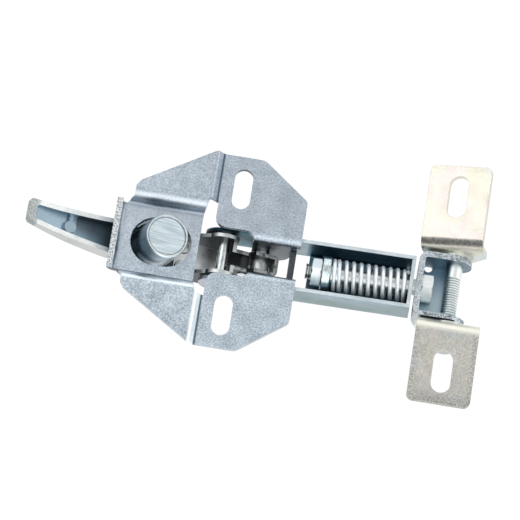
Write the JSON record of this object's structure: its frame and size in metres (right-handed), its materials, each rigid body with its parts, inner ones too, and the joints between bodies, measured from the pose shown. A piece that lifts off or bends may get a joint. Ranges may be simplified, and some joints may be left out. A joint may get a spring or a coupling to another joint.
{
  "type": "over-centre boot lock",
  "caption": "Over-centre boot lock: slotted sheet plate, hollow hand lever with lock barrel, sprung draw bar, and slotted tabs that swivel on a bolt.",
  "frame": {"origin": "midway between the two wing slots, on the near face of the wings", "axes": "+X along the lock towards the tabs, +Y across the wings, +Z out of the wings away from the hand lever"},
  "size_m": [0.2265, 0.1226, 0.0491],
  "materials": {
    "zinc_sheet": "bright zinc plate, fine mottled grain",
    "channel_zinc": "smooth bright zinc plate",
    "tab_zinc": "pale yellow passivated zinc plate",
    "bolt_zinc": "zinc plate",
    "bright_steel": "polished",
    "lock_metal": "brushed face, polished rim",
    "cast_alloy": "satin casting",
    "gunmetal": "dark blued steel with worn edges",
    "black_rubber": "matte"
  },
  "bodies": {
    "plate": {"mounting_plate": "zinc_sheet", "main_pivot_pin": "bright_steel"},
    "lever": {"crank_lever": "gunmetal", "pivot_bush": "bright_steel", "pivot_spacer_upper": "bright_steel", "pivot_spacer_lower": "bright_steel", "stop_rivet": "bright_steel", "stop_sleeve": "black_rubber", "toggle_pin": "bright_steel", "toggle_clip": "gunmetal", "toggle_washer_upper": "bright_steel", "toggle_washer_lower": "bright_steel", "handle_grip": "cast_alloy", "handle_rivet_upper": "bright_steel", "handle_rivet_lower": "bright_steel", "lock_barrel": "lock_metal", "lock_ring": "bright_steel", "lock_cap": "lock_metal"},
    "plug": {"lock_plug": "lock_metal"},
    "channel": {"spring_channel": "channel_zinc", "compression_spring": "bright_steel"},
    "draw_rod": {"pull_bolt": "bolt_zinc", "adjusting_nut": "bolt_zinc", "spring_seat": "bright_steel", "yoke": "zinc_sheet", "swivel_bolt": "bolt_zinc", "swivel_nut": "bolt_zinc", "head_washer": "bolt_zinc", "nut_washer": "bolt_zinc", "spacer_washer_upper": "bolt_zinc", "spacer_washer_lower": "bolt_zinc"},
    "tab_upper": {"upper_tab": "tab_zinc"},
    "tab_lower": {"lower_tab": "tab_zinc"}
  },
  "joints": [
    {"name": "lever_swing", "type": "hinge", "parent": "plate", "child": "lever", "pos_m": [0.0143, 0, -0.019], "axis": [0, -1, 0], "range_deg": [0, 80]},
    {"name": "lock_turn", "type": "hinge", "parent": "lever", "child": "plug", "pos_m": [-0.03591, 0, -0.00365], "axis": [0.2924, 0, 0.9563], "range_deg": [0, 90]},
    {"name": "toggle_pivot", "type": "hinge", "parent": "lever", "child": "channel", "pos_m": [-0.00463, 0, -0.01321], "axis": [0, -1, 0], "range_deg": [-80, 0]},
    {"name": "rod_slide", "type": "slide", "parent": "channel", "child": "draw_rod", "axis": [0.999, 0, 0.0436], "range_m": [0, 0.01], "deforming": ["compression_spring"]},
    {"name": "upper_tab_swivel", "type": "hinge", "parent": "draw_rod", "child": "tab_upper", "pos_m": [0.10936, 0, -0.00823], "axis": [0, -1, 0], "range_deg": [-47, 13]},
    {"name": "lower_tab_swivel", "type": "hinge", "parent": "draw_rod", "child": "tab_lower", "pos_m": [0.10936, 0, -0.00823], "axis": [0, -1, 0], "range_deg": [-30, 30]}
  ],
  "couplings": [
    {"joint": "toggle_pivot", "follows": "lever_swing", "ratio": -1}
  ]
}
